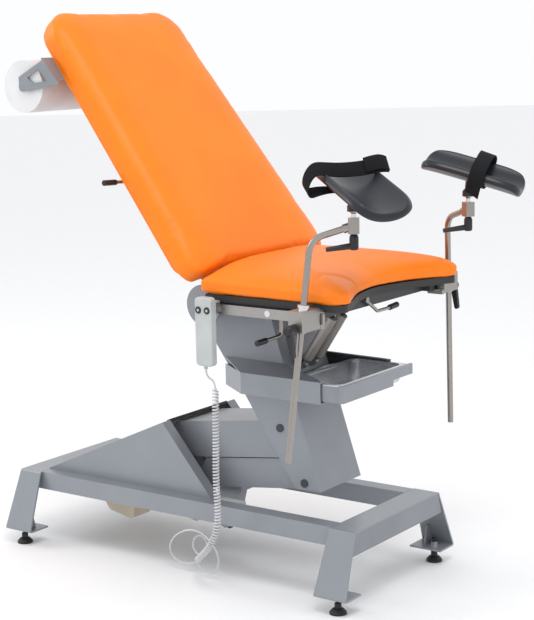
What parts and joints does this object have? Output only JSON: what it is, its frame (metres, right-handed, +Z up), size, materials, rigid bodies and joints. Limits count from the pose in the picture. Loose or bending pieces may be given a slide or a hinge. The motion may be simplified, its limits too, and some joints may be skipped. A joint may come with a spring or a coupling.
{
  "type": "medical examination table",
  "caption": "Gynaecological examination table with a column lift, tilting seat, reclining back, pull-out tray, paper roll and adjustable leg rests.",
  "frame": {"origin": "on the floor, midway between the four feet", "axes": "+X towards the doctor's side (front), +Y towards the patient's left, +Z up"},
  "size_m": [1.3714, 0.822, 1.5114],
  "materials": {
    "powder_coat": "satin powder coat",
    "dark_steel": "satin black paint",
    "black_rubber": "matt",
    "bright_steel": "polished",
    "stainless": "brushed",
    "beige_plastic": "matt",
    "leatherette": "soft grain",
    "board_laminate": "dark sealed edge",
    "light_plastic": "satin",
    "black_plastic": "matt",
    "cord_jacket": "satin",
    "gas_cylinder": "satin",
    "pad_foam": "integral skin foam, glossy",
    "webbing": "woven",
    "alloy": "machined",
    "paper_white": "smooth"
  },
  "bodies": {
    "base": {"front_leg_frame": "powder_coat", "rear_leg_frame": "powder_coat", "foot_nuts": "bright_steel", "levelling_feet": "black_rubber", "base_rails": "powder_coat", "ramp_cover": "powder_coat", "ramp_edge_trim": "black_rubber", "pivot_tower": "powder_coat", "control_box": "light_plastic", "base_lead": "cord_jacket", "handset_coil": "cord_jacket"},
    "upper_arm": {"upper_lift_arm": "powder_coat"},
    "lower_arm": {"lower_lift_arm": "powder_coat"},
    "column": {"column_shell": "powder_coat", "column_rear_cover": "powder_coat", "column_pivot_pins": "dark_steel", "tray_housing": "powder_coat"},
    "actuator": {"actuator_body": "beige_plastic"},
    "push_rod": {"actuator_push_rod": "dark_steel"},
    "tray": {"instrument_tray": "stainless", "tray_drawer_front": "powder_coat"},
    "seat": {"seat_frame": "dark_steel", "seat_board": "board_laminate", "seat_pad": "leatherette", "side_rails": "stainless", "rail_screws": "bright_steel", "handset_body": "light_plastic", "handset_lead": "cord_jacket"},
    "up_button": {"handset_up_button": "black_plastic"},
    "down_button": {"handset_down_button": "black_plastic"},
    "tilt_lever": {"tilt_release_lever": "bright_steel"},
    "front_lever": {"front_release_lever": "bright_steel"},
    "recline_lever": {"recline_release_lever": "bright_steel"},
    "backrest": {"back_frame": "dark_steel", "back_board": "board_laminate", "back_pad": "leatherette", "paper_roll_holder": "powder_coat"},
    "roll": {"paper_roll": "paper_white"},
    "right_spring_cylinder": {"right_gas_spring_cylinder": "gas_cylinder"},
    "right_spring_rod": {"right_gas_spring_rod": "dark_steel"},
    "left_spring_cylinder": {"left_gas_spring_cylinder": "gas_cylinder"},
    "left_spring_rod": {"left_gas_spring_rod": "dark_steel"},
    "right_clamp": {"right_rail_clamp": "alloy"},
    "right_clamp_lever_body": {"right_clamp_lever": "black_plastic"},
    "right_sleeve": {"right_rod_sleeve": "bright_steel"},
    "right_rod": {"right_leg_rest_rod": "stainless"},
    "right_swivel_lever_body": {"right_swivel_lever": "black_plastic"},
    "right_stud": {"right_ball_stud": "bright_steel"},
    "right_leg_pad_body": {"right_leg_pad": "pad_foam", "right_leg_strap": "webbing", "right_pad_socket": "dark_steel"},
    "left_clamp": {"left_rail_clamp": "alloy"},
    "left_clamp_lever_body": {"left_clamp_lever": "black_plastic"},
    "left_sleeve": {"left_rod_sleeve": "bright_steel"},
    "left_rod": {"left_leg_rest_rod": "stainless"},
    "left_swivel_lever_body": {"left_swivel_lever": "black_plastic"},
    "left_stud": {"left_ball_stud": "bright_steel"},
    "left_leg_pad_body": {"left_leg_pad": "pad_foam", "left_leg_strap": "webbing", "left_pad_socket": "dark_steel"}
  },
  "joints": [
    {"name": "lift", "type": "hinge", "parent": "base", "child": "upper_arm", "pos_m": [-0.07, 0, 0.368], "axis": [0, -1, 0], "range_deg": [-29, 22.5], "deforming": ["handset_coil"]},
    {"name": "lower_arm_swing", "type": "hinge", "parent": "base", "child": "lower_arm", "pos_m": [0.005, 0, 0.229], "axis": [0, -1, 0], "range_deg": [-29, 22.5]},
    {"name": "column_level", "type": "hinge", "parent": "upper_arm", "child": "column", "pos_m": [0.27022, 0, 0.41158], "axis": [0, -1, 0], "range_deg": [-22.5, 29]},
    {"name": "actuator_pivot", "type": "hinge", "parent": "base", "child": "actuator", "pos_m": [-0.455, 0, 0.175], "axis": [0, -1, 0], "range_deg": [-1.6, 1.24]},
    {"name": "actuator_stroke", "type": "slide", "parent": "actuator", "child": "push_rod", "axis": [0.9839, 0, -0.1787], "range_m": [-0.0675, 0.0525]},
    {"name": "tray_slide", "type": "slide", "parent": "column", "child": "tray", "axis": [1, 0, 0], "range_m": [0, 0.15]},
    {"name": "seat_tilt", "type": "hinge", "parent": "column", "child": "seat", "pos_m": [0.06, 0, 0.716], "axis": [0, -1, 0], "range_deg": [0, 15]},
    {"name": "right_spring_pivot", "type": "hinge", "parent": "column", "child": "right_spring_cylinder", "pos_m": [0.3, -0.025, 0.572], "axis": [0, -1, 0], "range_deg": [0, 13.9]},
    {"name": "right_spring_stroke", "type": "slide", "parent": "right_spring_cylinder", "child": "right_spring_rod", "axis": [0.559, 0, 0.8292], "range_m": [0, 0.073]},
    {"name": "left_spring_pivot", "type": "hinge", "parent": "column", "child": "left_spring_cylinder", "pos_m": [0.3, 0.025, 0.572], "axis": [0, -1, 0], "range_deg": [0, 13.9]},
    {"name": "left_spring_stroke", "type": "slide", "parent": "left_spring_cylinder", "child": "left_spring_rod", "axis": [0.559, 0, 0.8292], "range_m": [0, 0.073]},
    {"name": "up_button_press", "type": "slide", "parent": "seat", "child": "up_button", "axis": [0, 1, 0], "range_m": [0, 0.0015], "stiffness_N_per_m": 800},
    {"name": "down_button_press", "type": "slide", "parent": "seat", "child": "down_button", "axis": [0, 1, 0], "range_m": [0, 0.0015], "stiffness_N_per_m": 800},
    {"name": "tilt_lever_lift", "type": "hinge", "parent": "seat", "child": "tilt_lever", "pos_m": [0.35, -0.196, 0.7347], "axis": [-1, 0, 0], "range_deg": [0, 12], "stiffness_Nm_per_rad": 3},
    {"name": "front_lever_lift", "type": "hinge", "parent": "seat", "child": "front_lever", "pos_m": [0.506, -0.044, 0.764], "axis": [1, 0, 0], "range_deg": [0, 10], "stiffness_Nm_per_rad": 3},
    {"name": "recline", "type": "hinge", "parent": "seat", "child": "backrest", "pos_m": [0.11, 0, 0.742], "axis": [0, -1, 0], "range_deg": [0, 52]},
    {"name": "recline_lever_lift", "type": "hinge", "parent": "backrest", "child": "recline_lever", "pos_m": [-0.10429, -0.18, 1.05416], "axis": [-0.7902, 0, -0.6129], "range_deg": [0, 12], "stiffness_Nm_per_rad": 3},
    {"name": "roll_spin", "type": "hinge", "parent": "backrest", "child": "roll", "pos_m": [-0.41, 0, 1.307], "axis": [0, 1, 0], "continuous": true},
    {"name": "right_clamp_slide", "type": "slide", "parent": "seat", "child": "right_clamp", "axis": [1, 0, 0], "range_m": [-0.12, 0]},
    {"name": "right_clamp_lever_turn", "type": "hinge", "parent": "right_clamp", "child": "right_clamp_lever_body", "pos_m": [0.514, -0.3685, 0.742], "axis": [0, 1, 0], "range_deg": [-60, 60]},
    {"name": "right_leg_swing", "type": "hinge", "parent": "right_clamp", "child": "right_sleeve", "pos_m": [0.5217, -0.35307, 0.76], "axis": [-0.0545, -0.1251, -0.9906], "range_deg": [-10, 60]},
    {"name": "right_leg_height", "type": "slide", "parent": "right_sleeve", "child": "right_rod", "axis": [0.0545, 0.1251, 0.9906], "range_m": [-0.03, 0.12]},
    {"name": "right_swivel_lever_turn", "type": "hinge", "parent": "right_rod", "child": "right_swivel_lever_body", "pos_m": [0.623, -0.279, 0.985], "axis": [0, 0, 1], "range_deg": [-20, 40]},
    {"name": "right_pad_swivel", "type": "hinge", "parent": "right_rod", "child": "right_stud", "pos_m": [0.623, -0.279, 0.985], "axis": [0, 0, -1], "range_deg": [-25, 25]},
    {"name": "right_pad_tip", "type": "hinge", "parent": "right_stud", "child": "right_leg_pad_body", "pos_m": [0.623, -0.279, 1.024], "axis": [0.5299, 0.848, 0], "range_deg": [-15, 15]},
    {"name": "left_clamp_slide", "type": "slide", "parent": "seat", "child": "left_clamp", "axis": [1, 0, 0], "range_m": [-0.12, 0]},
    {"name": "left_clamp_lever_turn", "type": "hinge", "parent": "left_clamp", "child": "left_clamp_lever_body", "pos_m": [0.514, 0.3685, 0.742], "axis": [0, 1, 0], "range_deg": [-60, 60]},
    {"name": "left_leg_swing", "type": "hinge", "parent": "left_clamp", "child": "left_sleeve", "pos_m": [0.5217, 0.35307, 0.76], "axis": [0.0545, -0.1251, 0.9906], "range_deg": [-10, 60]},
    {"name": "left_leg_height", "type": "slide", "parent": "left_sleeve", "child": "left_rod", "axis": [0.0545, -0.1251, 0.9906], "range_m": [-0.03, 0.12]},
    {"name": "left_swivel_lever_turn", "type": "hinge", "parent": "left_rod", "child": "left_swivel_lever_body", "pos_m": [0.623, 0.279, 0.968], "axis": [0, 0, 1], "range_deg": [-20, 40]},
    {"name": "left_pad_swivel", "type": "hinge", "parent": "left_rod", "child": "left_stud", "pos_m": [0.623, 0.279, 0.968], "axis": [0, 0, 1], "range_deg": [-25, 25]},
    {"name": "left_pad_tip", "type": "hinge", "parent": "left_stud", "child": "left_leg_pad_body", "pos_m": [0.623, 0.279, 1.007], "axis": [-0.342, 0.9397, 0], "range_deg": [-15, 15]}
  ],
  "couplings": [
    {"joint": "lower_arm_swing", "follows": "lift", "ratio": 1},
    {"joint": "column_level", "follows": "lift", "ratio": -1},
    {"joint": "actuator_pivot", "follows": "lift", "ratio": 0.055},
    {"joint": "actuator_stroke", "follows": "lift", "m_per_rad": 0.133},
    {"joint": "right_spring_pivot", "follows": "seat_tilt", "ratio": 0.925},
    {"joint": "left_spring_pivot", "follows": "seat_tilt", "ratio": 0.925},
    {"joint": "right_spring_stroke", "follows": "seat_tilt", "m_per_rad": 0.278},
    {"joint": "left_spring_stroke", "follows": "seat_tilt", "m_per_rad": 0.278}
  ]
}
